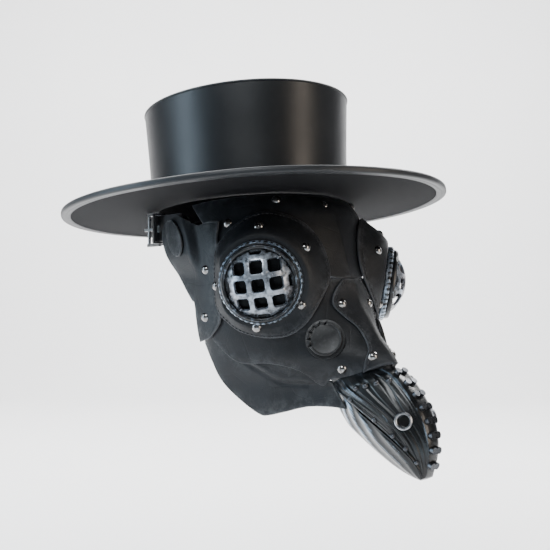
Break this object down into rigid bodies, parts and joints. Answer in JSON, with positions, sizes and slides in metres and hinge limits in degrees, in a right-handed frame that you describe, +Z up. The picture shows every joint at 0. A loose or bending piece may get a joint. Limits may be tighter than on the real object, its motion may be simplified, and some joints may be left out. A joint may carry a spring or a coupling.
{
  "type": "plague doctor mask with hat",
  "caption": "Full-face plague doctor mask of riveted leather panels with round grilled goggles, a ribbed curved beak, a rear strap and a flat-topped wide-brimmed hat.",
  "frame": {"origin": "centre of the wearer's head at eye level, in the middle of the mask's head opening", "axes": "the wearer faces -Y, +Z is up, and the wearer's right is -X"},
  "size_m": [0.35, 0.4328, 0.3322],
  "materials": {
    "hat_leather": "smooth satin black imitation leather",
    "hat_lining": "matt black cloth",
    "hat_trim": "dark grey binding with fine stitching",
    "black_leather": "worn satin black leather",
    "grey_leather": "worn charcoal leather",
    "strap_leather": "satin black strap",
    "foam_pad": "matt dark foam faced with cloth",
    "black_plastic": "satin black",
    "aged_silver_frame": "black with dry-brushed worn silver",
    "dark_lens": "dark smoked and glossy",
    "aged_silver_beak": "black with dry-brushed worn silver",
    "beak_studs": "dark worn silver",
    "grommet_metal": "worn nickel",
    "rivet_metal": "bright nickel domes",
    "buckle_metal": "bright nickel"
  },
  "bodies": {
    "mask": {"forehead_panel": "black_leather", "nose_bridge": "black_leather", "brow_pad": "foam_pad", "cheek_panel_right": "black_leather", "cheek_panel_left": "black_leather", "side_panel_right": "grey_leather", "side_panel_left": "grey_leather", "eye_patch_right": "black_leather", "eye_patch_left": "black_leather", "jaw_panel_right": "grey_leather", "jaw_panel_left": "grey_leather", "gear_disc_right": "black_plastic", "gear_disc_left": "black_plastic", "ear_flap_right": "grey_leather", "ear_flap_left": "grey_leather", "ear_disc_right": "grey_leather", "ear_disc_left": "grey_leather", "eye_ring_right": "aged_silver_frame", "eye_ring_left": "aged_silver_frame", "eye_bezel_right": "aged_silver_frame", "eye_bezel_left": "aged_silver_frame", "eye_grille_right": "aged_silver_frame", "eye_grille_left": "aged_silver_frame", "eye_lens_right": "dark_lens", "eye_lens_left": "dark_lens", "beak_upper": "aged_silver_beak", "beak_mandible": "aged_silver_beak", "beak_ridge_bolts": "beak_studs", "beak_studs": "beak_studs", "vent_grommet_right": "grommet_metal", "vent_grommet_left": "grommet_metal", "rivets_right": "rivet_metal", "rivets_left": "rivet_metal", "rivets_bridge": "rivet_metal", "strap_long": "strap_leather", "strap_short": "strap_leather", "strap_keeper": "strap_leather", "buckle_frame": "buckle_metal"},
    "hat": {"hat_brim": "hat_leather", "hat_brim_lining": "hat_lining", "hat_brim_binding": "hat_trim", "hat_crown_wall": "hat_leather", "hat_crown_top": "hat_leather", "hat_crown_piping": "hat_trim", "hat_sweatband": "hat_lining"},
    "prong": {"buckle_prong": "buckle_metal"}
  },
  "joints": [
    {"name": "hat_lift", "type": "slide", "parent": "mask", "child": "hat", "axis": [0, 0, 1], "range_m": [0, 0.15]},
    {"name": "prong_hinge", "type": "hinge", "parent": "mask", "child": "prong", "pos_m": [-0.08897, 0.04238, 0.05], "axis": [0, 0, 1], "range_deg": [0, 70]}
  ]
}
